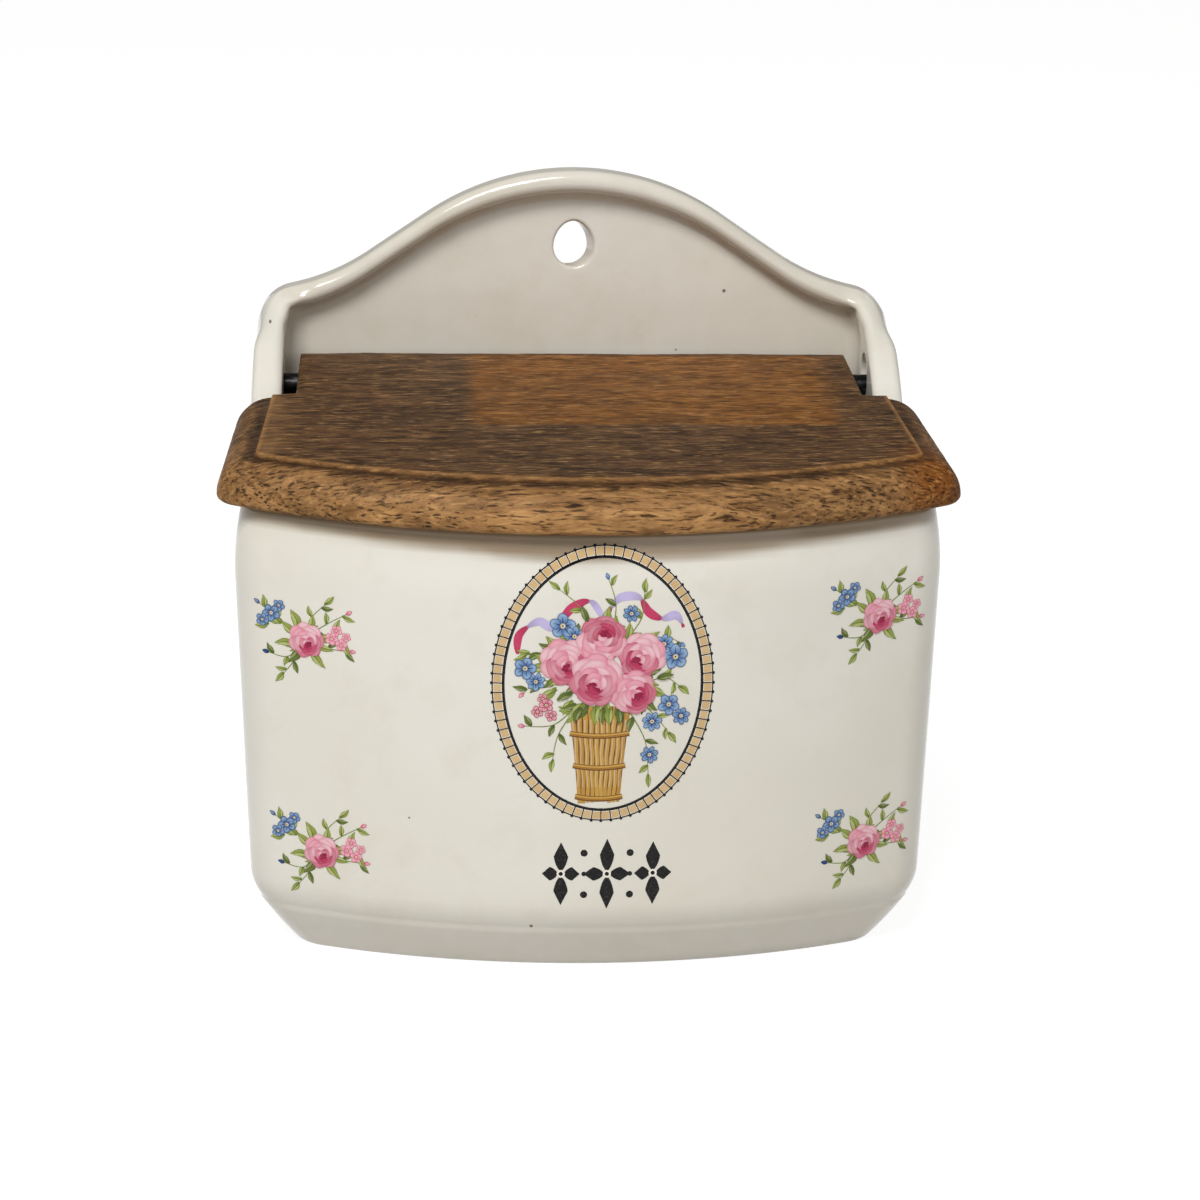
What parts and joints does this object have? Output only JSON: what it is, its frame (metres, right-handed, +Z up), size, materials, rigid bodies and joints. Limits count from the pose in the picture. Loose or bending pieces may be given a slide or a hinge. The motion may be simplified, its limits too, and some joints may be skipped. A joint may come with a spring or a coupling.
{
  "type": "wall-hung salt box",
  "caption": "Wall-hung glazed ceramic salt box with a bowed front, a shaped back plate with a hanging hole, and a moulded wooden lid that lifts on hinge pins.",
  "frame": {"origin": "on the floor of the part, at the middle of its bounding box seen from above", "axes": "+Z up, -Y towards the bowed front, +Y towards the wall; the part is symmetric left to right in X"},
  "size_m": [0.156, 0.1186, 0.154],
  "materials": {
    "glazed_ceramic": "glossy ivory glaze over a white earthenware body",
    "beech": "worn, darkened and waxed",
    "blackened_steel": "blackened, slightly glossy"
  },
  "bodies": {
    "body": {"ceramic_body": "glazed_ceramic"},
    "lid": {"wooden_lid": "beech", "left_hinge_pin": "blackened_steel", "right_hinge_pin": "blackened_steel"}
  },
  "joints": [
    {"name": "lid_hinge", "type": "hinge", "parent": "body", "child": "lid", "pos_m": [0, 0.0403, 0.10634], "axis": [-1, 0, 0], "range_deg": [0, 97.7]}
  ]
}
